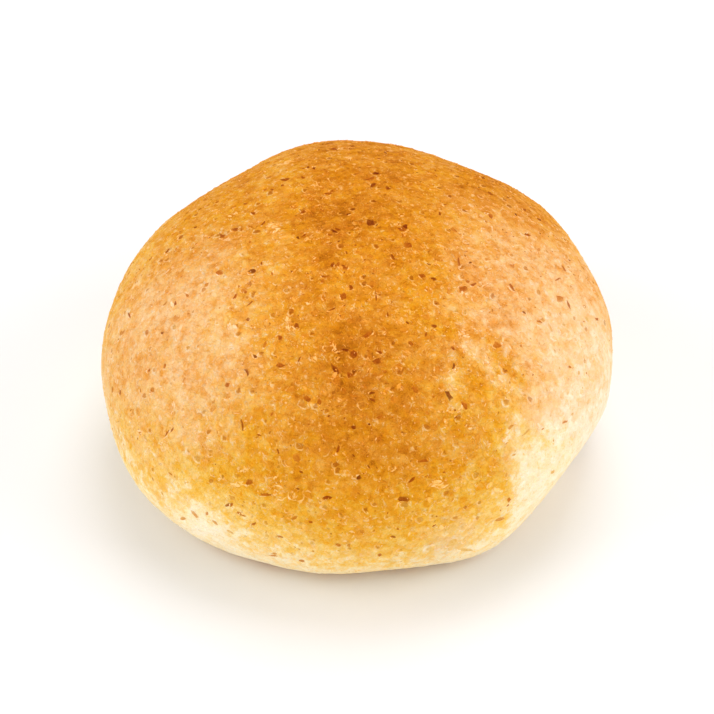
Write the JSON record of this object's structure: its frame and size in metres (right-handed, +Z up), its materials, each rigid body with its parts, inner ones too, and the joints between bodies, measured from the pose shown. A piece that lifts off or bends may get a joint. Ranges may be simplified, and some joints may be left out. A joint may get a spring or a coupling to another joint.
{
  "type": "bread roll",
  "caption": "Round soft wholemeal bread roll: a domed browned crust over a full belly that tucks in to a flat base, with one pale side pressed flat.",
  "frame": {"origin": "middle of the footprint, on the table under the roll", "axes": "+Z up through the dome, which is the roll's shortest way; -Y is the front, the side that the picture looks down on; +X is the right-hand side, where the low side is pressed flat"},
  "size_m": [0.1004, 0.1002, 0.0549],
  "materials": {
    "crust": "baked bread crust, matte with a faint sheen: golden brown on the dome, peach on the shoulders and cream at the foot and on the pressed side, with reddish brown bran flecks"
  },
  "bodies": {
    "root": {"roll": "crust"}
  },
  "joints": []
}
